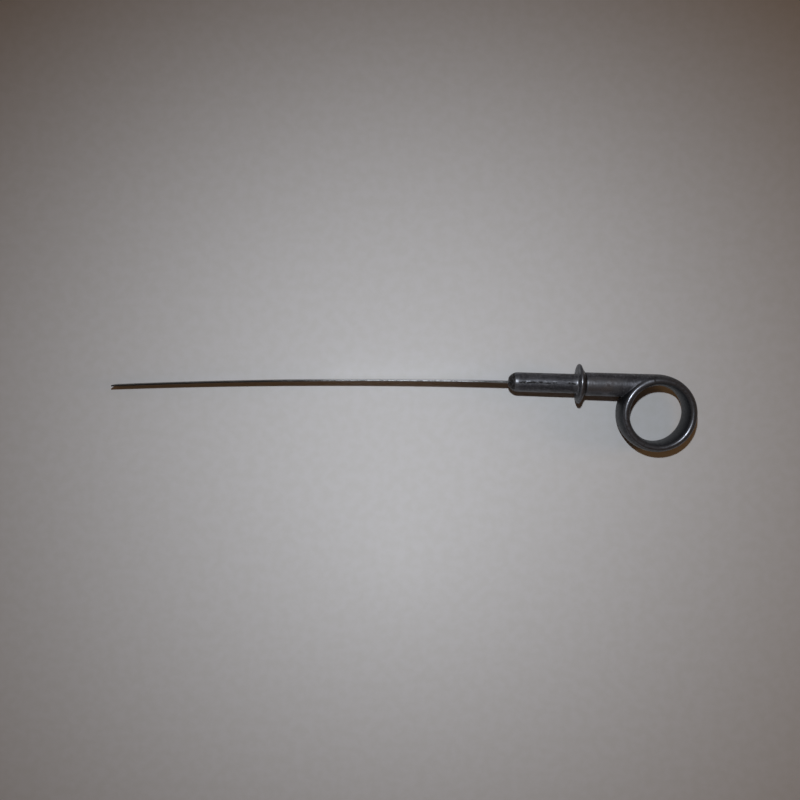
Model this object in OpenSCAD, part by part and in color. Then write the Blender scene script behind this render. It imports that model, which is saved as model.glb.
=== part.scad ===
// Engine oil dipstick: a sprung steel blade held in the plug of a handle bent from one tube.
// It lies on its side on a flat surface, on three points: blade tip, bead rim and finger ring.
// X runs from the blade to the ring, Z is up, and the origin is midway along the plug's axis.
// Inside the modules, x = 0 is the bead's seat and the handle's axis is the X axis.

/* [Blade] */
// Length of blade between its tip and the plug
blade_len = 205.5; // [120:0.5:320]
// Width of the blade, up and down as it lies
blade_w = 8; // [5:0.1:8]
// Thickness of the blade
blade_t = 0.8; // [0.6:0.1:1.6]
// Radius of the blade's gentle bow
bow_r = 3200; // [1800:50:9000]
// Angle at which the blade leaves the plug, in degrees
blade_lean = 0.4; // [0:0.1:0.8]
// Length of blade held inside the plug
blade_grip = 26; // [12:1:30]

/* [Level marks] */
// Distance from the tip to the low mark
low_mark = 14; // [8:0.5:24]
// Distance between the low mark and the full mark
mark_span = 24; // [15:0.5:40]
// Width of each pressed line
line_w = 0.6; // [0.4:0.1:1]
// Depth of the pressed lines
line_depth = 0.15; // [0.05:0.05:0.25]
// Pitch of the hatching between the marks
hatch_pitch = 2; // [1.5:0.25:4]

/* [Plug] */
// Diameter of the plug
plug_d = 10; // [9:0.1:11]
// Length of the plug from the bead's seat to its nose
plug_len = 35.3; // [32:0.1:60]
// Length of the rounded nose
nose_len = 4.4; // [3:0.1:6]
// Diameter of the nose's flat end
nose_d = 3.8; // [2:0.1:5]
// Fullness of the nose, where 2 is an ellipse and less is nearer to a chamfer
nose_power = 1.7; // [1.4:0.1:2]
// Clearance between the blade and its slot
slot_gap = 0.05; // [0.02:0.01:0.1]

/* [Bead] */
// Diameter of the bead that stops the plug
bead_d = 20.4; // [19.2:0.1:24]
// Thickness of the bead at its root
bead_root = 3.4; // [2.4:0.1:4.5]
// Thickness of the bead at its rim
bead_rim = 1.4; // [0.8:0.1:1.8]
// Fillet between the plug and the bead
seat_fillet = 1; // [0.4:0.1:1.5]
// Depth of the groove behind the bead
neck_depth = 0.3; // [0.2:0.1:0.7]
// Width of the groove behind the bead
neck_w = 0.7; // [0.5:0.1:2]

/* [Tube] */
// Diameter of the tube that the handle is bent from
tube_d = 12; // [11.4:0.1:13]
// Wall of the tube
wall = 1; // [0.8:0.1:1.2]

/* [Finger ring] */
// Outside diameter of the ring
ring_d = 39.8; // [36:0.1:50]
// Width of the ring's oval tube, measured across the ring
band_w = 5.6; // [5:0.1:7]
// Height of the ring's oval tube
ring_h = 16; // [14:0.1:17]
// Distance from the bead's seat to the middle of the ring
ring_x = 41; // [38:0.5:60]
// Length over which the round tube grows to the oval's height
flare_len = 20; // [14:0.5:24]
// Squareness of the oval, where 2 is an ellipse
oval_power = 2.4; // [2:0.1:3]
// Angle round the ring where its end starts to dip to the shank
dip_start = 172; // [168:1:178]
// Angle round the ring where its end stops inside the shank
dip_end = 112; // [110:1:118]
// How much narrower the ring's end gets before it stops
dip_nip = 0.4; // [0.2:0.1:0.8]
// How much lower the ring's end gets before it stops
dip_drop = 1.4; // [1.2:0.1:4]

/* [Hidden] */
$fn = 96;

SIDES = 32;          // points round each oval section
FLARE_STEPS = 12;    // sections along the flare
DIP_STEPS = 8;       // sections along the ring's end
ARC_STEPS = 8;       // steps of a small round in a profile
BOW_STEPS = 24;      // steps along the blade's bow
HAIR = 0.02;         // how far a loft's tongue lies inside the wall of its neighbour
TONGUE = 0.01;       // length of the tongue, as a share of its loft
OVERSHOOT = 1;       // how far a cut runs past what it cuts

plug_r = plug_d / 2;
bead_r = bead_d / 2;
tube_r = tube_d / 2;
plug_bore_r = plug_r - wall;
neck_x = bead_root;
shank_x = neck_x + neck_w;
flare_x = ring_x - flare_len;
ring_y = tube_r - ring_d / 2;
band_r = ring_d / 2 - band_w / 2;
hole_r = ring_d / 2 - band_w;
origin_x = -(plug_len - nose_len + seat_fillet) / 2;

// Turn of the blade's direction after a run of blade from the plug.
function blade_turn(run) = blade_lean + run / bow_r * 180 / PI;

// A point at that run, and at a distance to one side of the blade's middle line.
function blade_point(run, offset) =
    [-plug_len - bow_r * (sin(blade_turn(run)) - sin(blade_lean)) - offset * sin(blade_turn(run)),
        bow_r * (cos(blade_turn(run)) - cos(blade_lean)) + offset * cos(blade_turn(run))];

tip = concat(blade_point(blade_len, 0), [-blade_w / 2]);

// The three points that it rests on give how far the down direction leans: [roll, pitch] as tangents.
function lean(roll, pitch, rounds) =
    rounds == 0 ? [roll, pitch]
    : let (
        next_pitch = (bead_r - blade_w / 2 + roll * tip[1]) / -tip[0],
        reach = -ring_y + band_r * sqrt(1 + pow(next_pitch / roll, 2)),
        next_roll = (bead_r - ring_h / 2 + next_pitch * ring_x) / reach
    ) lean(next_roll, next_pitch, rounds - 1);

rest_lean = lean(0.1, 0.02, 30);
rest_roll = atan(rest_lean[0]);
rest_pitch = atan(rest_lean[1] * cos(rest_roll));

function within(t) = min(1, max(0, t));
function smooth(t) = t * t * (3 - 2 * t);
function mix(low, high, t) = low + (high - low) * t;
function signed_power(v, power) = sign(v) * pow(abs(v), power);
function arc(centre, r, from, to) =
    [for (i = [0 : ARC_STEPS]) let (a = mix(from, to, i / ARC_STEPS)) centre + r * [cos(a), sin(a)]];

// Oval with half width a, half height b and squareness n.
function oval(a, b, n) =
    [for (i = [0 : SIDES - 1]) let (t = 360 * i / SIDES)
        [a * signed_power(cos(t), 2 / n), b * signed_power(sin(t), 2 / n)]];

// A section is [centre x, centre y, outward angle, half width, half height, squareness].
function section_points(s) =
    [for (p = oval(s[3], s[4], s[5])) [s[0] + p[0] * cos(s[2]), s[1] + p[0] * sin(s[2]), p[1]]];

// Half width of the flare, whose lower side follows the ring's hole and whose upper side is straight.
function flare_half_width(x) =
    let (drop = x > ring_x - hole_r ? sqrt(pow(hole_r, 2) - pow(x - ring_x, 2)) : 0)
    min(tube_r, (tube_r - ring_y - drop) / 2);

function flare_section(t, inset) =
    let (x = mix(flare_x, ring_x, t), a = flare_half_width(min(x, ring_x)), s = smooth(within(t)))
    [x, tube_r - a, 90, a - inset, mix(tube_r, ring_h / 2, s) - inset, mix(2, oval_power, s)];

// The ring's end keeps its outer edge on the ring and draws in its inner edge, to land inside the flare.
function dip_section(t, inset) =
    let (turn = mix(dip_start, dip_end, t), s = smooth(within(t)),
        half = mix(band_w, band_w - dip_nip, s) / 2, reach = ring_d / 2 - half)
    [ring_x + reach * cos(turn), ring_y + reach * sin(turn), turn,
        half - inset, mix(ring_h, ring_h - dip_drop, s) / 2 - inset, oval_power];

// Each loft runs a short tongue into the wall of what it joins, a hair inside that wall's surfaces.
function flare_list(inset, hair) = concat(
    [flare_section(-TONGUE, inset + hair), flare_section(0, inset + hair)],
    [for (i = [1 : FLARE_STEPS - 1]) flare_section(i / FLARE_STEPS, inset)],
    [flare_section(1, inset + hair), flare_section(1 + TONGUE, inset + hair)]
);
function dip_list(inset, hair) = concat(
    [dip_section(-TONGUE, inset + hair), dip_section(0, inset + hair)],
    [for (i = [1 : DIP_STEPS]) dip_section(i / DIP_STEPS, inset)]
);

function all_points(sections) = [for (s = sections) each section_points(s)];
function side_faces(count, first, outside) =
    [for (k = [0 : count - 2], i = [0 : SIDES - 1])
        let (j = (i + 1) % SIDES, a = first + k * SIDES, b = a + SIDES)
        outside ? [a + i, b + i, b + j, a + j] : [a + j, b + j, b + i, a + i]];
function ring_cap(outer, inner, front) =
    [for (i = [0 : SIDES - 1]) let (j = (i + 1) % SIDES)
        front ? [outer + i, outer + j, inner + j, inner + i] : [inner + i, inner + j, outer + j, outer + i]];

// Solid and hollow lofts through a list of sections.
module loft(sections) {
    last = (len(sections) - 1) * SIDES;
    polyhedron(
        all_points(sections),
        concat(
            side_faces(len(sections), 0, true),
            [[for (i = [0 : SIDES - 1]) i]],
            [[for (i = [SIDES - 1 : -1 : 0]) last + i]]
        ),
        convexity = 4
    );
}

module tube_loft(outer, inner) {
    bore = len(outer) * SIDES;
    last = (len(outer) - 1) * SIDES;
    polyhedron(
        concat(all_points(outer), all_points(inner)),
        concat(
            side_faces(len(outer), 0, true),
            side_faces(len(inner), bore, false),
            ring_cap(0, bore, true),
            ring_cap(last, bore + last, false)
        ),
        convexity = 6
    );
}

// Turns the part from its own axis to the way it lies.
module lie_down() {
    rotate([rest_roll, -rest_pitch, 0]) translate([-origin_x, 0, 0]) children();
}

// Outer profile from the nose to the end of the shank, as [radius, x].
function nose_profile(r, end_r, x, length) =
    [for (i = [0 : ARC_STEPS]) let (t = 90 * i / ARC_STEPS)
        [end_r + (r - end_r) * pow(sin(t), 2 / nose_power), x + length * (1 - pow(cos(t), 2 / nose_power))]];

body_profile = concat(
    [[0, -plug_len]],
    nose_profile(plug_r, nose_d / 2, -plug_len, nose_len),
    arc([plug_r + seat_fillet, -seat_fillet], seat_fillet, 180, 90),
    arc([bead_r - bead_rim / 2, bead_rim / 2], bead_rim / 2, -90, 90),
    [[tube_r + wall / 2, bead_root]],
    [[tube_r - neck_depth, neck_x]],
    [[tube_r - neck_depth, shank_x - neck_depth / 2]],
    [[tube_r, shank_x]],
    [[tube_r, flare_x]],
    [[tube_r - wall, flare_x]],
    [[tube_r - wall, shank_x + wall]],
    [[plug_bore_r, shank_x]],
    [for (i = [ARC_STEPS : -1 : 0]) nose_profile(plug_bore_r, nose_d / 2, wall - plug_len, nose_len)[i]],
    [[0, wall - plug_len]]
);

module turned_body() {
    rotate([0, 90, 0]) rotate_extrude() polygon(body_profile);
}

// Opening in the nose that the blade passes through, as deep as the blade goes in.
module blade_slot() {
    translate([-plug_len - OVERSHOOT, -blade_t / 2 - slot_gap, -blade_w / 2 - slot_gap])
        cube([blade_grip + slot_gap + OVERSHOOT, blade_t + 2 * slot_gap, blade_w + 2 * slot_gap]);
}

// The ring leaves the flare at its top, turns away from it and comes round to the dip.
module ring_arc() {
    translate([ring_x, ring_y, 0]) rotate([0, 0, 90]) mirror([0, 1, 0])
        rotate_extrude(angle = 450 - dip_start) translate([band_r, 0]) difference() {
            polygon(oval(band_w / 2, ring_h / 2, oval_power));
            polygon(oval(band_w / 2 - wall, ring_h / 2 - wall, oval_power));
        }
}

// The ring's coped end, which stops against the shank.
module ring_end() {
    difference() {
        tube_loft(dip_list(0, HAIR), dip_list(wall, -HAIR));
        loft(flare_list(0, 0));
    }
}

module handle() {
    color("dimgray") lie_down() {
        difference() {
            turned_body();
            blade_slot();
        }
        tube_loft(flare_list(0, HAIR), flare_list(wall, -HAIR));
        ring_arc();
        ring_end();
    }
}

// One long side of the blade, at a distance from its middle line.
function blade_side(offset) = concat(
    [[blade_grip - plug_len, offset]],
    [for (i = [0 : BOW_STEPS]) blade_point(blade_len * i / BOW_STEPS, offset)]
);

module reversed_polygon(one_side, other_side) {
    polygon(concat(one_side, [for (i = [len(other_side) - 1 : -1 : 0]) other_side[i]]));
}

// Moves to a distance from the tip along the bowed blade, with Y square to its face.
module at_mark(distance) {
    run = blade_len - distance;
    translate(concat(blade_point(run, 0), [0])) rotate([0, 0, blade_turn(run)]) children();
}

module pressed_line(length, lean_angle) {
    translate([0, blade_t / 2, 0]) rotate([0, lean_angle, 0])
        cube([line_w, 2 * line_depth, length], center = true);
}

module level_marks() {
    for (distance = [low_mark, low_mark + mark_span])
        at_mark(distance) pressed_line(blade_w + OVERSHOOT, 0);
    for (distance = [low_mark + hatch_pitch : hatch_pitch : low_mark + mark_span - hatch_pitch])
        at_mark(distance) pressed_line(blade_w / 2, 30);
}

module blade() {
    color("gray") lie_down() difference() {
        translate([0, 0, -blade_w / 2]) linear_extrude(blade_w)
            reversed_polygon(blade_side(blade_t / 2), blade_side(-blade_t / 2));
        level_marks();
    }
}

handle();
blade();
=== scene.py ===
"""An engine oil dipstick: a sprung steel blade held in the plug of a handle bent from one tube."""

import math

import bmesh
import bpy
from mathutils import Matrix, Vector


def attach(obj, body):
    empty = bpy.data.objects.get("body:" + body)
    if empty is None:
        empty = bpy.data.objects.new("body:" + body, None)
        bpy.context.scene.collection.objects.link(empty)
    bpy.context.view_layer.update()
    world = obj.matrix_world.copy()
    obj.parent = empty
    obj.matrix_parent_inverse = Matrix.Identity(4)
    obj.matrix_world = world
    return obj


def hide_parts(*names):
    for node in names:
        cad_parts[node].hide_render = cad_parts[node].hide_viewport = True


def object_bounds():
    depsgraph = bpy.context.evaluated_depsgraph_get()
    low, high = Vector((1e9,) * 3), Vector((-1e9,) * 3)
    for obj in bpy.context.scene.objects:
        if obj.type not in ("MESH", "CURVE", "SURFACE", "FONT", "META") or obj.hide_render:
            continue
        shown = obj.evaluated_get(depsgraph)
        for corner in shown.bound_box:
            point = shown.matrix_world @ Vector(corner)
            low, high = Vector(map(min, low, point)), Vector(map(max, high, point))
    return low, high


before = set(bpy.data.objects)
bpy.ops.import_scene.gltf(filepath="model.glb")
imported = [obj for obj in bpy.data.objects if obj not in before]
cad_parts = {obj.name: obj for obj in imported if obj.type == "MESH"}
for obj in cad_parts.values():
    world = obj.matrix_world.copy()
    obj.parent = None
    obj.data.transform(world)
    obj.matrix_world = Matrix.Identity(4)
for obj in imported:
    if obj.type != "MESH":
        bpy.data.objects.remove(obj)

bl_info = {
    "name": "Oil Dipstick",
    "version": (1, 0, 0),
    "blender": (4, 5, 0),
    "location": "View3D > Sidebar > Dipstick",
    "description": "Builds an engine oil dipstick with a bent tube handle and a bowed blade",
    "category": "Add Mesh",
}

CAD_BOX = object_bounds()
BODY = "root"
MM = 0.001
PHOTO_WIDTH = 800
FLASH_COLOUR = "F2F8FF"
LOW_WINDOW_COLOUR = "FFC17C"
ROOM_COLOUR = "FFCBA2"

# Points round a loft, and sections along each of its stretches.
HANDLE_AROUND = 96
BLADE_AROUND = 32
NOSE_STEPS = 20
PLUG_STEPS = 24
FLARE_STEPS = 60
RING_STEPS = 140
BLADE_STEPS = 72

NOSE_SWEEP = math.radians(80)  # the nose's curve stops short of its end, so that its end is flat
REST_ROUNDS = 30  # more than enough for the roll and pitch at rest to settle
TOP_START, TOP_FADE = 0.7, 0.25  # where the worn top of a section, which gets the painted sheen, starts, and how fast it comes

# Stretches of the handle's material, as distances along the tube from the nose.
SEAM_RUNS = ((4.9 * MM, 24.0 * MM), (29.7 * MM, 33.7 * MM))
SEAM_WANDER = 0.5 * MM
SEAT_RUN = (36 * MM, 38 * MM)
RING_RUN = (62 * MM, 84 * MM)

# Stretches of the blade's painted light, as distances from the plug: painted shade dims it near
# the plug, and dims and then darkens it towards the tip.
PLUG_DIM_RUN = (6 * MM, 34 * MM)
TIP_SIDE_DIM_RUN = (84 * MM, 106 * MM)
TIP_SHADE_RUN = (98 * MM, 122 * MM)
SHADE_WANDER = 30 * MM
HATCH_SLANT = math.radians(30)

CLOUD_SIZE = 5 * MM  # size of the paper's faint blotches


class DipstickHandle(bpy.types.PropertyGroup):
    """Sizes of the handle, which is one steel tube."""

    tube_diameter: bpy.props.FloatProperty(
        name="Tube diameter",
        description="Diameter of the round shank",
        default=0.012,
        unit="LENGTH",
    )
    plug_diameter: bpy.props.FloatProperty(
        name="Plug diameter",
        description="Diameter of the swaged plug",
        default=0.010,
        unit="LENGTH",
    )
    plug_length: bpy.props.FloatProperty(
        name="Plug length",
        description="From the bead's seat to the nose",
        default=0.0353,
        unit="LENGTH",
    )
    nose_length: bpy.props.FloatProperty(
        name="Nose length", description="Length of the rounded nose", default=0.0044, unit="LENGTH"
    )
    nose_diameter: bpy.props.FloatProperty(
        name="Nose diameter", description="Flat end of the nose", default=0.0038, unit="LENGTH"
    )
    nose_shoulder: bpy.props.FloatProperty(
        name="Nose shoulder",
        description="From the nose's end to its worn shoulder",
        default=0.00345,
        unit="LENGTH",
    )
    nose_step: bpy.props.FloatProperty(
        name="Nose step",
        description="How much narrower the plug is at that shoulder",
        default=0.00011,
        unit="LENGTH",
    )
    nose_power: bpy.props.FloatProperty(
        name="Nose fullness", description="Fullness of the nose, 2 is an ellipse", default=1.5
    )
    bead_diameter: bpy.props.FloatProperty(
        name="Bead diameter",
        description="Diameter of the upset bead",
        default=0.0204,
        unit="LENGTH",
    )
    bead_root: bpy.props.FloatProperty(
        name="Bead root",
        description="Thickness of the bead at its root",
        default=0.0034,
        unit="LENGTH",
    )
    bead_rim: bpy.props.FloatProperty(
        name="Bead rim",
        description="Thickness of the bead at its rim",
        default=0.0014,
        unit="LENGTH",
    )
    seat_fillet: bpy.props.FloatProperty(
        name="Seat fillet",
        description="Fillet between plug and bead",
        default=0.001,
        unit="LENGTH",
    )
    neck_depth: bpy.props.FloatProperty(
        name="Neck depth",
        description="Depth of the groove behind the bead",
        default=0.0003,
        unit="LENGTH",
    )
    neck_width: bpy.props.FloatProperty(
        name="Neck width",
        description="Width of the groove behind the bead",
        default=0.0007,
        unit="LENGTH",
    )
    ring_diameter: bpy.props.FloatProperty(
        name="Ring diameter",
        description="Outside diameter of the finger ring",
        default=0.0398,
        unit="LENGTH",
    )
    band_width: bpy.props.FloatProperty(
        name="Band width",
        description="Width of the oval tube across the ring",
        default=0.0056,
        unit="LENGTH",
    )
    band_thinning: bpy.props.FloatProperty(
        name="Band thinning",
        description="How much the bend drew in the far side",
        default=0.0005,
        unit="LENGTH",
    )
    ring_height: bpy.props.FloatProperty(
        name="Ring height", description="Height of the oval tube", default=0.016, unit="LENGTH"
    )
    ring_distance: bpy.props.FloatProperty(
        name="Ring distance",
        description="From the seat to the ring's middle",
        default=0.041,
        unit="LENGTH",
    )
    flare_length: bpy.props.FloatProperty(
        name="Flare length",
        description="Length that turns round tube to oval",
        default=0.020,
        unit="LENGTH",
    )
    oval_power: bpy.props.FloatProperty(
        name="Oval squareness", description="Squareness of the oval, 2 is an ellipse", default=2.4
    )
    dip_start: bpy.props.FloatProperty(
        name="Dip start",
        description="Where the ring's end starts to dip",
        default=math.radians(172),
        subtype="ANGLE",
    )
    dip_end: bpy.props.FloatProperty(
        name="Dip end",
        description="Where the ring's end stops in the shank",
        default=math.radians(102),
        subtype="ANGLE",
    )
    dip_nip: bpy.props.FloatProperty(
        name="Dip nip",
        description="How much narrower the ring's end gets",
        default=0.00012,
        unit="LENGTH",
    )
    dip_drop: bpy.props.FloatProperty(
        name="Dip drop",
        description="How much lower the ring's end gets",
        default=0.0003,
        unit="LENGTH",
    )


class DipstickBlade(bpy.types.PropertyGroup):
    """Sizes of the blade."""

    length: bpy.props.FloatProperty(
        name="Length", description="From the tip to the plug", default=0.2055, unit="LENGTH"
    )
    width: bpy.props.FloatProperty(
        name="Width", description="Width of the strip", default=0.008, unit="LENGTH"
    )
    thickness: bpy.props.FloatProperty(
        name="Thickness", description="Thickness of the strip", default=0.0008, unit="LENGTH"
    )
    edge_power: bpy.props.FloatProperty(
        name="Edge squareness",
        description="Squareness of the strip's section, 2 is an ellipse",
        default=5.0,
    )
    bow_radius: bpy.props.FloatProperty(
        name="Bow radius", description="Radius of the gentle bow", default=3.2, unit="LENGTH"
    )
    lean: bpy.props.FloatProperty(
        name="Lean",
        description="Angle at which it leaves the plug",
        default=math.radians(0.4),
        subtype="ANGLE",
    )
    grip: bpy.props.FloatProperty(
        name="Grip", description="Length held inside the plug", default=0.006, unit="LENGTH"
    )
    low_mark: bpy.props.FloatProperty(
        name="Low mark", description="From the tip to the low mark", default=0.014, unit="LENGTH"
    )
    mark_span: bpy.props.FloatProperty(
        name="Mark span",
        description="From the low mark to the full mark",
        default=0.024,
        unit="LENGTH",
    )
    line_width: bpy.props.FloatProperty(
        name="Line width", description="Width of a pressed line", default=0.0006, unit="LENGTH"
    )
    line_depth: bpy.props.FloatProperty(
        name="Line depth", description="Depth of a pressed line", default=0.00015, unit="LENGTH"
    )
    hatch_pitch: bpy.props.FloatProperty(
        name="Hatch pitch", description="Pitch of the hatching", default=0.002, unit="LENGTH"
    )


class DipstickStage(bpy.types.PropertyGroup):
    """Floor, light and camera."""

    camera_height: bpy.props.FloatProperty(
        name="Camera height",
        description="Height of the lens above the floor",
        default=0.409,
        unit="LENGTH",
    )
    camera_turn: bpy.props.FloatProperty(
        name="Camera turn",
        description="Turn of the camera about its view",
        default=math.radians(1.74),
        subtype="ANGLE",
    )
    focal_pixels: bpy.props.FloatProperty(
        name="Focal length in pixels",
        description="Focal length as pixels of the photograph",
        default=775.0,
    )
    seat_pixel: bpy.props.FloatVectorProperty(
        name="Seat pixel",
        description="Where the bead's seat is in the photograph",
        size=2,
        default=(577.3, 383.7),
    )
    lamp_offset: bpy.props.FloatProperty(
        name="Lamp offset",
        description="From the lens to the lamp, up in the picture",
        default=0.091,
        unit="LENGTH",
    )
    lamp_aim: bpy.props.FloatProperty(
        name="Lamp aim",
        description="From the lens to where the lamp points, up in the picture",
        default=-0.084,
        unit="LENGTH",
    )
    lamp_size: bpy.props.FloatProperty(
        name="Lamp size", description="Width of the lamp", default=0.014, unit="LENGTH"
    )
    lamp_power: bpy.props.FloatProperty(
        name="Lamp power", description="Power of the lamp", default=0.34, unit="POWER"
    )
    lamp_spread: bpy.props.FloatProperty(
        name="Lamp spread",
        description="Width of the lamp's beam",
        default=math.radians(102),
        subtype="ANGLE",
    )
    window_distance: bpy.props.FloatProperty(
        name="Window distance",
        description="From the lens to the warm low light, right in the picture",
        default=2.0,
        unit="LENGTH",
    )
    window_height: bpy.props.FloatProperty(
        name="Window height",
        description="Height of the warm light above the floor",
        default=0.6,
        unit="LENGTH",
    )
    window_size: bpy.props.FloatProperty(
        name="Window size", description="Width of the warm light", default=0.8, unit="LENGTH"
    )
    window_power: bpy.props.FloatProperty(
        name="Window power", description="Power of the warm light", default=5.4, unit="POWER"
    )
    room_light: bpy.props.FloatProperty(
        name="Room light", description="Strength of the room's even light", default=0.045
    )
    floor_size: bpy.props.FloatProperty(
        name="Floor size", description="Width of the floor", default=4.0, unit="LENGTH"
    )


def hex_colour(text):
    """A linear colour with alpha from an sRGB hex value such as 8A8C8F."""
    channels = [int(text[i : i + 2], 16) / 255 for i in (0, 2, 4)]
    return [c / 12.92 if c <= 0.04045 else ((c + 0.055) / 1.055) ** 2.4 for c in channels] + [1.0]


def add_node(tree, kind, inputs=None, **settings):
    """Adds a node, sets its settings, and sets or links its inputs."""
    made = tree.nodes.new(kind)
    for key, value in settings.items():
        setattr(made, key, value)
    for key, value in (inputs or {}).items():
        if isinstance(value, bpy.types.NodeSocket):
            tree.links.new(value, made.inputs[key])
        else:
            made.inputs[key].default_value = value
    return made


def new_material(name):
    material = bpy.data.materials.new(name)
    material.use_nodes = True
    material.node_tree.nodes.clear()
    return material, material.node_tree


def mix(low, high, share):
    return low + (high - low) * share


def smooth(share):
    share = min(1.0, max(0.0, share))
    return share * share * (3 - 2 * share)


def blade_turn(blade, run):
    """Turn of the blade's direction after a run of blade from the plug."""
    return blade.lean + run / blade.bow_radius


def blade_middle(handle, blade, run):
    """Middle of the blade after that run, from the bead's seat."""
    turn = blade_turn(blade, run)
    x = -handle.plug_length - blade.bow_radius * (math.sin(turn) - math.sin(blade.lean))
    return Vector((x, blade.bow_radius * (math.cos(turn) - math.cos(blade.lean)), 0))


def rest_turn(handle, blade):
    """Turn from the handle's own axis to the way it lies, on the tip, bead rim and ring."""
    tip = blade_middle(handle, blade, blade.length)
    bead = handle.bead_diameter / 2
    band = (handle.ring_diameter - handle.band_width) / 2
    side = (handle.ring_diameter - handle.tube_diameter) / 2
    roll, pitch = 0.1, 0.02
    for _ in range(REST_ROUNDS):
        pitch = (bead - blade.width / 2 + roll * tip.y) / -tip.x
        reach = side + band * math.sqrt(1 + (pitch / roll) ** 2)
        roll = (bead - handle.ring_height / 2 + pitch * handle.ring_distance) / reach
    roll_angle = math.atan(roll)
    pitch_angle = math.atan(pitch * math.cos(roll_angle))
    middle = (handle.plug_length - handle.nose_length + handle.seat_fillet) / 2
    turn = Matrix.Rotation(-pitch_angle, 4, "Y") @ Matrix.Rotation(roll_angle, 4, "X")
    return turn @ Matrix.Translation((middle, 0, 0))


class Section:
    """One oval of a loft, square to its outward direction: its form, its grime and painted shade,
    and its wear and painted sheen.
    """

    def __init__(
        self, middle, outward, half_width, half_height, power=2.0, grime_and_shade=0.0, polish_and_sheen=0.0, dent=0.0
    ):
        self.middle = Vector(middle)
        self.outward = Vector((math.cos(outward), math.sin(outward), 0))
        self.half_width = half_width
        self.half_height = half_height
        self.power = power
        self.grime_and_shade = grime_and_shade
        self.polish_and_sheen = polish_and_sheen
        self.dent = dent

    def offsets(self, unit):
        across = math.copysign(abs(unit.x) ** (2 / self.power), unit.x) * self.half_width
        up = math.copysign(abs(unit.y) ** (2 / self.power), unit.y) * self.half_height
        return across - self.dent * (across > 0), up


def round_section(x, radius, grime_and_shade=0.0, polish_and_sheen=0.0):
    return Section((x, 0, 0), math.pi / 2, radius, radius, 2.0, grime_and_shade, polish_and_sheen)


def arc_sections(x, radius, size, start, end, steps, grime_and_shade=0.0, polish_and_sheen=0.0):
    """Round sections along an arc of the profile, with angles from the outward direction."""
    made = []
    for i in range(steps + 1):
        angle = mix(start, end, i / steps)
        place, reach = x + size * math.sin(angle), radius + size * math.cos(angle)
        made.append(round_section(place, reach, grime_and_shade, polish_and_sheen))
    return made


def loft(bm, sections, around):
    """Sweeps one loop of points through the sections and closes both ends."""
    unit = bm.verts.layers.float_vector.new("unit")
    straight = bm.verts.layers.float_vector.new("straight")
    grime_and_shade = bm.verts.layers.float.new("grime_and_shade")
    polish_and_sheen = bm.verts.layers.float.new("polish_and_sheen")
    points = bmesh.ops.create_circle(bm, segments=around, radius=1.0)["verts"]
    for v in points:
        v[unit] = v.co
    edges = list({e for v in points for e in v.link_edges})
    bmesh.ops.contextual_create(bm, geom=edges)
    distance = 0.0
    last_middle = sections[0].middle
    for i, section in enumerate(sections):
        if i:
            made = bmesh.ops.extrude_edge_only(bm, edges=edges)["geom"]
            points = [g for g in made if isinstance(g, bmesh.types.BMVert)]
            fresh = set(points)
            edges = [g for g in made if isinstance(g, bmesh.types.BMEdge)]
            edges = [e for e in edges if set(e.verts) <= fresh]
        distance += (section.middle - last_middle).length
        last_middle = section.middle
        for v in points:
            across, up = section.offsets(v[unit])
            v.co = section.middle + section.outward * across + Vector((0, 0, up))
            v[straight] = Vector((distance, across, up))
            v[grime_and_shade] = section.grime_and_shade
            # The painted sheen is kept to the top of each section, where the lamp's highlight
            # falls.
            v[polish_and_sheen] = section.polish_and_sheen * smooth((v[unit].y - TOP_START) / TOP_FADE)
    bmesh.ops.contextual_create(bm, geom=edges)
    bmesh.ops.recalc_face_normals(bm, faces=bm.faces)


def finish_piece(name, bm, turn, material, node):
    """Makes the mesh an object at the origin that stands for its CAD node."""
    bmesh.ops.transform(bm, matrix=turn, verts=bm.verts)
    mesh = bpy.data.meshes.new(name)
    bm.to_mesh(mesh)
    bm.free()
    mesh.shade_smooth()
    piece = bpy.data.objects.new(name, mesh)
    bpy.context.scene.collection.objects.link(piece)
    mesh.materials.append(material)
    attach(piece, BODY)
    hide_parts(node)
    return piece


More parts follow.
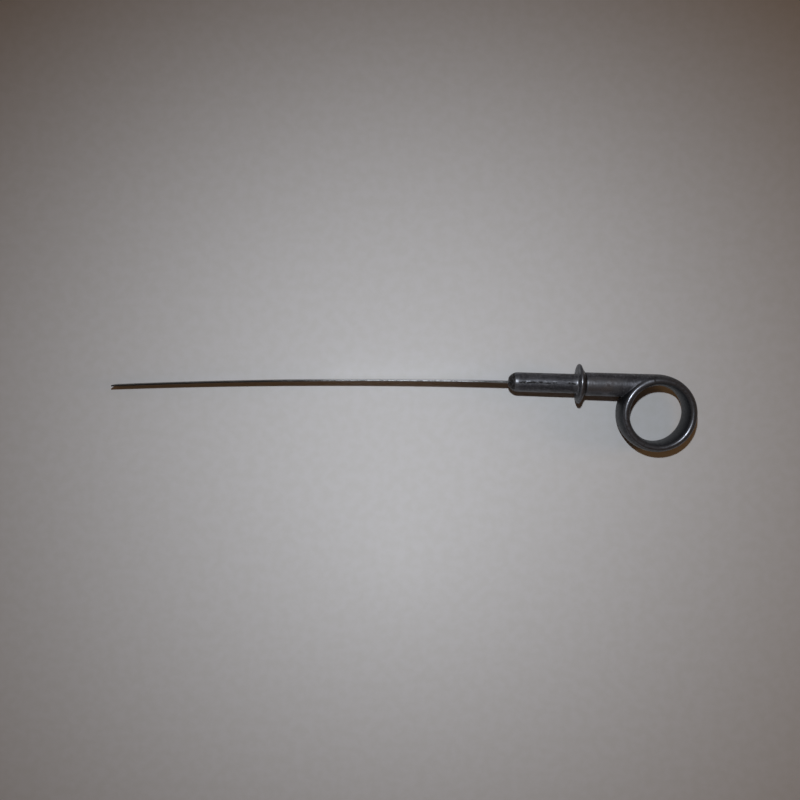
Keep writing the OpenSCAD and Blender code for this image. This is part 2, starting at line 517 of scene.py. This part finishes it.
def plug_sections(handle):
    """Nose, plug, bead, neck and round shank, as far as the flare."""
    plug = handle.plug_diameter / 2
    nose = handle.nose_diameter / 2
    tube = handle.tube_diameter / 2
    bead = handle.bead_diameter / 2
    rim = handle.bead_rim / 2
    made = []
    shoulder = plug - handle.nose_step
    power = 2 / handle.nose_power
    for i in range(NOSE_STEPS + 1):
        angle = NOSE_SWEEP * i / NOSE_STEPS
        length_share = (1 - math.cos(angle) ** power) / (1 - math.cos(NOSE_SWEEP) ** power)
        x = handle.nose_shoulder * length_share
        radius = nose + (shoulder - nose) * (math.sin(angle) / math.sin(NOSE_SWEEP)) ** power
        # The nose gets grime and painted shade, and its worn shoulder gets painted sheen.
        rub_sheen = smooth((x - handle.nose_shoulder) / (0.4 * MM) + 1.9)
        made.append(round_section(x - handle.plug_length, radius, 0.75 - 0.4 * rub_sheen, rub_sheen))
    for share, rub_sheen in ((0.04, 0.8), (0.3, 0.3), (0.7, 0.5), (1.0, 0.4), (1.3, 0.0)):
        x = mix(handle.nose_shoulder, handle.nose_length, share) - handle.plug_length
        made.append(round_section(x, mix(shoulder, plug, min(1.0, share)), 0.0, rub_sheen))
    wall_start = handle.nose_length - handle.plug_length
    wall_end = -handle.seat_fillet
    # The plug's end at the seat, the seat fillet and the bead's rim get painted sheen; the bead's
    # back and the neck groove get grime and painted shade.
    for i in range(1, PLUG_STEPS):
        rub_sheen = 0.9 * (i == PLUG_STEPS - 1)
        made.append(round_section(mix(wall_start, wall_end, i / PLUG_STEPS), plug, 0.0, rub_sheen))
    fillet = handle.seat_fillet
    made += arc_sections(-fillet, plug + fillet, fillet, math.pi, math.pi * 0.68, 5, 0.0, 1.0)
    made += arc_sections(-fillet, plug + fillet, fillet, math.pi * 0.65, math.pi / 2, 4, 0.3)
    made += arc_sections(rim, bead - rim, rim, -math.pi / 2, -0.9, 3, 0.2)
    made += arc_sections(rim, bead - rim, rim, -0.7, 0.7, 8, 0.0, 0.85)
    made += arc_sections(rim, bead - rim, rim, 0.9, math.pi / 2, 3, 0.5)
    slope_x, slope_radius = mix(2 * rim, handle.bead_root, 0.5), mix(bead - rim, tube, 0.5)
    made.append(round_section(slope_x, slope_radius, 0.6))
    made.append(round_section(handle.bead_root, tube + 0.3 * MM, 0.9))
    neck_end = handle.bead_root + handle.neck_width
    floor = tube - handle.neck_depth
    made.append(round_section(handle.bead_root + 0.1 * MM, floor, 1.0))
    made.append(round_section(neck_end - handle.neck_depth, floor, 1.0))
    made += arc_sections(neck_end, tube - 0.2 * MM, 0.2 * MM, -math.pi / 2, 0, 4, 0.4)
    return made


def flare_sections(handle):
    """The tube from the neck to the top of the ring, whose lower side follows the ring's hole."""
    tube = handle.tube_diameter / 2
    ring_y = tube - handle.ring_diameter / 2
    hole = handle.ring_diameter / 2 - handle.band_width
    start = handle.ring_distance - handle.flare_length
    first = handle.bead_root + handle.neck_width + 0.5 * MM
    made = []
    for i in range(FLARE_STEPS):
        x = mix(first, handle.ring_distance, i / FLARE_STEPS)
        drop = 0.0
        if x > handle.ring_distance - hole:
            drop = math.sqrt(hole**2 - (x - handle.ring_distance) ** 2)
        half = min(tube, (tube - ring_y - drop) / 2)
        share = smooth((x - start) / handle.flare_length)
        height = mix(tube, handle.ring_height / 2, share)
        power = mix(2.0, handle.oval_power, share)
        # The top of the shank behind the bead gets painted sheen, fading towards the ring.
        rub_sheen = smooth((handle.ring_distance - hole - x) / (13 * MM))
        made.append(Section((x, tube - half, 0), math.pi / 2, half, height, power, polish_and_sheen=rub_sheen))
    return made


def ring_sections(handle):
    """The oval tube round the ring, drawn in at its far side, and its end, which dips."""
    ring_y = (handle.tube_diameter - handle.ring_diameter) / 2
    outer = handle.ring_diameter / 2
    turn_start = math.pi / 2
    turn_end = handle.dip_end - 2 * math.pi
    dip = handle.dip_start - 2 * math.pi
    made = []
    for i in range(RING_STEPS + 1):
        angle = mix(turn_start, turn_end, i / RING_STEPS)
        share = smooth((angle - dip) / (turn_end - dip))
        thinning = handle.band_thinning * max(0.0, -math.sin(angle)) ** 2
        half = mix(handle.band_width - thinning, handle.band_width - handle.dip_nip, share) / 2
        height = mix(handle.ring_height, handle.ring_height - handle.dip_drop, share) / 2
        reach = outer - half
        x = handle.ring_distance + reach * math.cos(angle)
        y = ring_y + reach * math.sin(angle)
        # The ring's end, where it dips into the shank, gets grime and painted shade.
        made.append(Section((x, y, 0), angle, half, height, handle.oval_power, share))
    return made


def blade_sections(handle, blade):
    """The strip from inside the plug to the tip, its corners just rounded, with its two marks."""
    thin, tall = blade.thickness / 2, blade.width / 2
    plain = (mix(-blade.grip, blade.length, i / BLADE_STEPS) for i in range(BLADE_STEPS + 1))
    runs = [(run, 0.0) for run in plain]
    for mark in (blade.low_mark, blade.low_mark + blade.mark_span):
        middle = blade.length - mark
        edge = blade.line_width / 2
        slope = blade.line_depth / 2
        runs += [(middle - edge, 0.0), (middle - edge + slope, blade.line_depth)]
        runs += [(middle + edge - slope, blade.line_depth), (middle + edge, 0.0)]
    made = []
    for run, dent in sorted(runs):
        if run <= 0:
            middle, turn = (-handle.plug_length - run, 0, 0), math.pi / 2
        else:
            middle = blade_middle(handle, blade, run)
            turn = math.pi / 2 + blade_turn(blade, run)
        made.append(Section(middle, turn, thin, tall, blade.edge_power, dent=dent))
    return made


def ramp(tree, value, start, end, low=0.0, high=1.0):
    """Runs smoothly from low to high while the value runs from start to end."""
    inputs = {0: value, 1: start, 2: end, 3: low, 4: high}
    return add_node(tree, "ShaderNodeMapRange", inputs, interpolation_type="SMOOTHSTEP").outputs[0]


def combine(tree, operation, first, second=0.0):
    return add_node(tree, "ShaderNodeMath", {0: first, 1: second}, operation=operation).outputs[0]


def times(tree, first, second):
    return combine(tree, "MULTIPLY", first, second)


def plus(tree, first, second):
    return combine(tree, "ADD", first, second)


def minus(tree, first, second):
    return combine(tree, "SUBTRACT", first, second)


def larger(tree, first, second):
    return combine(tree, "MAXIMUM", first, second)


def window(tree, value, start, end, edge):
    """One between start and end, and zero outside them."""
    opening = ramp(tree, value, start - edge, start + edge)
    return times(tree, opening, ramp(tree, value, end - edge, end + edge, 1.0, 0.0))


def tint(tree, share, low, high):
    """Mixes two colours, each a node's output or a hex value."""
    ends = [hex_colour(c) if isinstance(c, str) else c for c in (low, high)]
    inputs = {0: share, 6: ends[0], 7: ends[1]}
    return add_node(tree, "ShaderNodeMix", inputs, data_type="RGBA").outputs[2]


def grain(tree, place, size, detail=4.0, stretch=(1.0, 1.0, 1.0)):
    """Noise whose grains have the given size, stretched along the piece."""
    laid = add_node(tree, "ShaderNodeMapping", {"Vector": place, "Scale": stretch}).outputs[0]
    inputs = {"Vector": laid, "Scale": 1 / size, "Detail": detail, "Roughness": 0.62}
    return add_node(tree, "ShaderNodeTexNoise", inputs).outputs["Fac"]


def read_attribute(tree, name, output="Fac"):
    return add_node(tree, "ShaderNodeAttribute", attribute_name=name).outputs[output]


def bump(tree, height, strength, distance, normal=None, sunk=False):
    """Raises the surface where height is high, or sinks it there."""
    inputs = {"Height": height, "Strength": strength, "Distance": distance}
    if normal:
        inputs["Normal"] = normal
    return add_node(tree, "ShaderNodeBump", inputs, invert=sunk).outputs[0]


def metal_surface(tree, colour, metallic, roughness, normal):
    inputs = {"Base Color": colour, "Metallic": metallic, "Roughness": roughness, "Normal": normal}
    shader = add_node(tree, "ShaderNodeBsdfPrincipled", inputs)
    add_node(tree, "ShaderNodeOutputMaterial", {"Surface": shader.outputs[0]})


def seam_masks(tree, axes, wobble):
    """The swaged plug's seam along its top: a dark line, and the burnished lips beside it,
    lightened as painted highlight.
    """
    along, across, up = axes.outputs
    first, second = (window(tree, along, start, end, 0.4 * MM) for start, end in SEAM_RUNS)
    on_top = times(tree, plus(tree, first, second), ramp(tree, up, 0.0, 1.0 * MM))
    path = ramp(tree, wobble, 0.3, 0.7, 0.0, SEAM_WANDER)
    aside = combine(tree, "ABSOLUTE", minus(tree, across, path))
    line = times(tree, on_top, ramp(tree, aside, 0.26 * MM, 0.5 * MM, 1.0, 0.0))
    lip_sheen = times(tree, on_top, window(tree, aside, 0.65 * MM, 1.05 * MM, 0.15 * MM))
    return line, lip_sheen


def tube_steel():
    """Cold-drawn steel tube, bare and aged: near black satin with blotches, brown grime and
    painted shade in its crevices, burnished spots lightened on top as painted highlight, a ring
    darkened down its walls as painted shade, and a lighter crest as painted highlight."""
    material, tree = new_material("aged_drawn_steel_tube")
    place = read_attribute(tree, "straight", "Vector")
    axes = add_node(tree, "ShaderNodeSeparateXYZ", {0: place})
    along, _, up = axes.outputs
    blotch = grain(tree, place, 6 * MM, 5.0)
    mottle = grain(tree, place, 1.3 * MM)
    turned = grain(tree, place, 0.6 * MM, 4.0, (1.0, 0.12, 0.12))
    drawn = grain(tree, place, 0.5 * MM, 4.0, (0.12, 1.0, 1.0))
    behind_seat = ramp(tree, along, *SEAT_RUN)
    marks = add_node(tree, "ShaderNodeMix", {0: behind_seat, 2: drawn, 3: turned}).outputs[0]
    wobble = grain(tree, place, 3.5 * MM, 2.0)
    broken = ramp(tree, grain(tree, place, 1.6 * MM, 2.0), 0.42, 0.5, 0.3, 1.0)
    line, lip_sheen = seam_masks(tree, axes, wobble)
    line = times(tree, line, broken)
    lip_sheen = times(tree, lip_sheen, ramp(tree, mottle, 0.45, 0.65, 0.05, 0.55))
    # Brown grime and painted shade in the crevices and hollows.
    crevice_grime_and_shade = ramp(tree, times(tree, read_attribute(tree, "grime_and_shade"), mottle), 0.26, 0.42)
    # Burnished wear, lightened as painted sheen on the tops of the sections.
    wear_and_painted_light = times(tree, read_attribute(tree, "polish_and_sheen"), ramp(tree, blotch, 0.35, 0.6, 0.4, 1.0))
    bare_and_sheen = larger(tree, wear_and_painted_light, lip_sheen)
    ring = ramp(tree, along, *RING_RUN)
    # Painted shade: the ring is darkened, most down its walls.
    ring_wall_shade = times(tree, ring, ramp(tree, up, 5.0 * MM, 7.6 * MM, 0.92, 0.6))
    # Painted highlight: the ring's worn crest is lightened.
    crest_sheen = times(tree, ring, ramp(tree, up, 6.8 * MM, 7.9 * MM))
    crest_sheen = times(tree, crest_sheen, ramp(tree, mottle, 0.3, 0.6, 0.6, 1.0))

    colour = tint(tree, ramp(tree, blotch, 0.35, 0.65), "47474B", "5C5D63")
    colour = tint(tree, ramp(tree, mottle, 0.48, 0.68, 0.0, 0.75), colour, "76777E")
    colour = tint(tree, ramp(tree, marks, 0.46, 0.7, 0.0, 0.55), colour, "1E1D1E")
    colour = tint(tree, ring_wall_shade, colour, "1C1E22")
    colour = tint(tree, crevice_grime_and_shade, colour, "241C17")
    colour = tint(tree, bare_and_sheen, colour, "9A9CA2")
    colour = tint(tree, crest_sheen, colour, "7E8086")
    colour = tint(tree, line, colour, "100F0F")

    roughness = ramp(tree, mottle, 0.3, 0.7, 0.50, 0.38)
    roughness = plus(tree, roughness, times(tree, crevice_grime_and_shade, 0.15))
    roughness = minus(tree, roughness, times(tree, wear_and_painted_light, 0.15))
    roughness = minus(tree, roughness, times(tree, crest_sheen, 0.12))
    roughness = plus(tree, roughness, times(tree, line, 0.3))

    rounded = add_node(tree, "ShaderNodeBevel", {"Radius": 0.8 * MM}, samples=8).outputs[0]
    worn = bump(tree, blotch, 0.4, 0.25 * MM, rounded)
    scored = bump(tree, marks, 0.5, 0.05 * MM, worn)
    seamed = bump(tree, line, 0.6, 0.12 * MM, scored, sunk=True)
    metallic = ramp(tree, bare_and_sheen, 0.0, 0.8, 0.55, 0.85)
    metallic = plus(tree, metallic, times(tree, crest_sheen, 0.35))
    metallic = minus(tree, metallic, times(tree, line, 0.5))
    metal_surface(tree, colour, metallic, roughness, seamed)
    return material


def hatch_mask(tree, axes, blade):
    """Slanting lines between the two marks, on the side that has them, and their raised rims."""
    along, across, up = axes.outputs
    slanted = plus(tree, along, times(tree, up, math.tan(HATCH_SLANT)))
    cycle = combine(tree, "PINGPONG", slanted, blade.hatch_pitch / 2)
    lines = ramp(tree, cycle, blade.line_width * 0.35, blade.line_width * 0.55, 1.0, 0.0)
    rims = window(tree, cycle, blade.line_width * 0.6, blade.line_width * 0.95, 0.06 * MM)
    full = blade.grip + blade.length - blade.low_mark
    between = window(tree, along, full - blade.mark_span + 1 * MM, full - 1 * MM, 0.2 * MM)
    middle = window(tree, up, -blade.width / 4, blade.width / 4, 0.1 * MM)
    side = ramp(tree, across, 0.0, blade.thickness / 4)
    field = times(tree, times(tree, between, middle), side)
    return times(tree, lines, field), times(tree, rims, field)


def blade_steel(blade):
    """Cold-rolled spring steel strip: faces painted brighter than edges and a bright middle as
    painted highlight, speckled grey and dimmed by painted shade towards the plug, and darkened by
    painted shade with a duller mottled brown film towards the tip."""
    material, tree = new_material("cold_rolled_spring_steel")
    place = read_attribute(tree, "straight", "Vector")
    axes = add_node(tree, "ShaderNodeSeparateXYZ", {0: place})
    along, _, up = axes.outputs
    speckle = grain(tree, place, 1.1 * MM, 6.0)
    rolled = grain(tree, place, 0.5 * MM, 3.0, (0.1, 1.0, 1.0))
    patch = grain(tree, place, 9 * MM, 3.0, (0.5, 1.0, 1.0))
    # Painted light along the strip: shade dims it near the plug, and dims and then darkens it
    # towards the tip.
    plug_end = blade.grip + SHADE_WANDER / 2
    run = minus(tree, plus(tree, along, times(tree, patch, SHADE_WANDER)), plug_end)
    tip_shade = ramp(tree, run, *TIP_SHADE_RUN)
    tip_side_dim = ramp(tree, run, *TIP_SIDE_DIM_RUN)
    wear_and_painted_light = ramp(tree, run, *PLUG_DIM_RUN, 1.0, 0.0)
    painted_dim = larger(tree, wear_and_painted_light, tip_side_dim)
    # The faces are painted lighter than the edges as painted highlight, and the dark dots gather
    # on the edges as painted shade.
    edge = ramp(tree, combine(tree, "ABSOLUTE", up), 3.4 * MM, 3.9 * MM)
    dots = times(tree, ramp(tree, speckle, 0.42, 0.6), ramp(tree, edge, 0.0, 1.0, 0.3, 1.0))

    colour = tint(tree, edge, "F2F4F6", "A9ABAE")
    colour = tint(tree, ramp(tree, rolled, 0.45, 0.65, 0.0, 0.35), colour, "85878B")
    colour = tint(tree, times(tree, dots, 0.9), colour, "3F4043")
    colour = tint(tree, times(tree, painted_dim, 0.8), colour, "66686A")
    colour = tint(tree, times(tree, painted_dim, dots), colour, "1E1F22")
    # The darkened tip is painted shade, mottled brown and duller.
    tip_shade_colour = tint(tree, ramp(tree, patch, 0.35, 0.6), "191718", "2B2522")
    tip_shade_colour = tint(tree, ramp(tree, speckle, 0.5, 0.66, 0.0, 0.6), tip_shade_colour, "3A342F")
    colour = tint(tree, tip_shade, colour, tip_shade_colour)
    lines, rims = hatch_mask(tree, axes, blade)
    colour = tint(tree, times(tree, rims, 0.7), colour, "6E6A66")
    colour = tint(tree, lines, colour, "0A0909")
    roughness = ramp(tree, speckle, 0.3, 0.7, 0.28, 0.42)
    roughness = plus(tree, roughness, times(tree, tip_shade, 0.1))
    metallic = ramp(tree, tip_shade, 0.0, 1.0, 1.0, 0.6)
    worn = bump(tree, speckle, 0.6, 0.15 * MM)
    pressed = bump(tree, lines, 1.0, blade.line_depth, worn, sunk=True)
    metal_surface(tree, colour, metallic, roughness, pressed)
    return material


def floor_paper():
    """Matt white card, with a faint tooth."""
    material, tree = new_material("matt_card")
    place = add_node(tree, "ShaderNodeTexCoord").outputs["Object"]
    tooth = grain(tree, place, 0.8 * MM, 2.0)
    inputs = {"Vector": place, "Scale": 1 / CLOUD_SIZE, "Detail": 6.0}
    cloud = add_node(tree, "ShaderNodeTexNoise", inputs).outputs["Fac"]
    colour = tint(tree, ramp(tree, cloud, 0.3, 0.7), "E0E0DF", "E4E4E5")
    inputs = {"Base Color": colour, "Roughness": 0.9, "Normal": bump(tree, tooth, 0.1, 0.05 * MM)}
    shader = add_node(tree, "ShaderNodeBsdfPrincipled", inputs)
    add_node(tree, "ShaderNodeOutputMaterial", {"Surface": shader.outputs[0]})
    return material


def make_lamp(name, place, target, size, power, colour):
    """A round area lamp that points at the target."""
    data = bpy.data.lights.new(name, "AREA")
    data.shape = "DISK"
    data.size = size
    data.energy = power
    data.color = hex_colour(colour)[:3]
    lamp = bpy.data.objects.new(name, data)
    lamp.location = place
    lamp.rotation_euler = (target - place).to_track_quat("-Z", "Y").to_euler()
    bpy.context.scene.collection.objects.link(lamp)
    return lamp


class DIPSTICK_OT_handle(bpy.types.Operator):
    """Make the handle from one steel tube: plug, bead, shank and finger ring"""

    bl_idname = "dipstick.handle"
    bl_label = "Handle"

    def execute(self, context):
        handle, blade = context.scene.dipstick_handle, context.scene.dipstick_blade
        bm = bmesh.new()
        sections = plug_sections(handle) + flare_sections(handle) + ring_sections(handle)
        loft(bm, sections, HANDLE_AROUND)
        turn = rest_turn(handle, blade)
        finish_piece("tube_handle", bm, turn, tube_steel(), "handle")
        return {"FINISHED"}


class DIPSTICK_OT_blade(bpy.types.Operator):
    """Make the bowed blade"""

    bl_idname = "dipstick.blade"
    bl_label = "Blade"

    def execute(self, context):
        handle, blade = context.scene.dipstick_handle, context.scene.dipstick_blade
        bm = bmesh.new()
        loft(bm, blade_sections(handle, blade), BLADE_AROUND)
        turn = rest_turn(handle, blade)
        finish_piece("spring_blade", bm, turn, blade_steel(blade), "blade")
        return {"FINISHED"}


class DIPSTICK_OT_stage(bpy.types.Operator):
    """Make the floor, the light and the camera"""

    bl_idname = "dipstick.stage"
    bl_label = "Stage"

    def execute(self, context):
        stage = context.scene.dipstick_stage
        handle, blade = context.scene.dipstick_handle, context.scene.dipstick_blade
        floor_z = CAD_BOX[0].z
        bm = bmesh.new()
        bmesh.ops.create_grid(bm, x_segments=1, y_segments=1, size=stage.floor_size / 2)
        bmesh.ops.translate(bm, vec=(0, 0, floor_z), verts=bm.verts)
        mesh = bpy.data.meshes.new("floor")
        bm.to_mesh(mesh)
        bm.free()
        mesh.materials.append(floor_paper())
        floor = bpy.data.objects.new("floor", mesh)
        context.scene.collection.objects.link(floor)

        right = Vector((math.cos(stage.camera_turn), math.sin(stage.camera_turn), 0))
        up = Vector((-right.y, right.x, 0))
        seat = rest_turn(handle, blade) @ Vector()
        depth = stage.camera_height - (seat.z - floor_z)
        half = PHOTO_WIDTH / 2
        across = (stage.seat_pixel[0] - half) * depth / stage.focal_pixels
        down = (stage.seat_pixel[1] - half) * depth / stage.focal_pixels
        lens_place = seat - right * across + up * down
        lens_place.z = floor_z + stage.camera_height
        camera_data = bpy.data.cameras.new("camera")
        camera_data.sensor_width = 36
        camera_data.lens = stage.focal_pixels * camera_data.sensor_width / PHOTO_WIDTH
        camera_data.clip_start = 0.01
        camera = bpy.data.objects.new("camera", camera_data)
        camera.location = lens_place
        camera.rotation_euler = (0, 0, stage.camera_turn)
        context.scene.collection.objects.link(camera)
        context.scene.camera = camera

        floor_below = lens_place - Vector((0, 0, stage.camera_height))
        flash = lens_place + up * stage.lamp_offset
        aim = floor_below + up * stage.lamp_aim
        lamp = make_lamp("flash", flash, aim, stage.lamp_size, stage.lamp_power, FLASH_COLOUR)
        lamp.data.spread = stage.lamp_spread
        aside = right * stage.window_distance + Vector((0, 0, stage.window_height))
        low_window = make_lamp(
            "low_window",
            floor_below + aside,
            seat,
            stage.window_size,
            stage.window_power,
            LOW_WINDOW_COLOUR,
        )
        low_window.visible_glossy = False

        world = bpy.data.worlds.new("room")
        world.use_nodes = True
        background = world.node_tree.nodes["Background"].inputs
        background["Color"].default_value = hex_colour(ROOM_COLOUR)
        background["Strength"].default_value = stage.room_light
        context.scene.world = world
        context.scene.view_settings.view_transform = "Standard"
        return {"FINISHED"}


class DIPSTICK_PT_panel(bpy.types.Panel):
    """Lists the dipstick's steps and sizes"""

    bl_idname = "DIPSTICK_PT_panel"
    bl_label = "Oil Dipstick"
    bl_space_type = "VIEW_3D"
    bl_region_type = "UI"
    bl_category = "Dipstick"

    def draw(self, context):
        for step in OPERATORS:
            self.layout.operator(step.bl_idname)
        for group in ("dipstick_handle", "dipstick_blade", "dipstick_stage"):
            sizes = getattr(context.scene, group)
            for name in sizes.__annotations__:
                self.layout.prop(sizes, name)


GROUPS = {
    "dipstick_handle": DipstickHandle,
    "dipstick_blade": DipstickBlade,
    "dipstick_stage": DipstickStage,
}
OPERATORS = (DIPSTICK_OT_handle, DIPSTICK_OT_blade, DIPSTICK_OT_stage)


def register():
    for name, group in GROUPS.items():
        bpy.utils.register_class(group)
        setattr(bpy.types.Scene, name, bpy.props.PointerProperty(type=group))
    for item in (*OPERATORS, DIPSTICK_PT_panel):
        bpy.utils.register_class(item)


def unregister():
    for item in reversed((*OPERATORS, DIPSTICK_PT_panel)):
        bpy.utils.unregister_class(item)
    for name, group in reversed(GROUPS.items()):
        delattr(bpy.types.Scene, name)
        bpy.utils.unregister_class(group)


def main():
    register()
    bpy.ops.dipstick.handle()
    bpy.ops.dipstick.blade()
    bpy.ops.dipstick.stage()


if __name__ == "__main__":
    main()
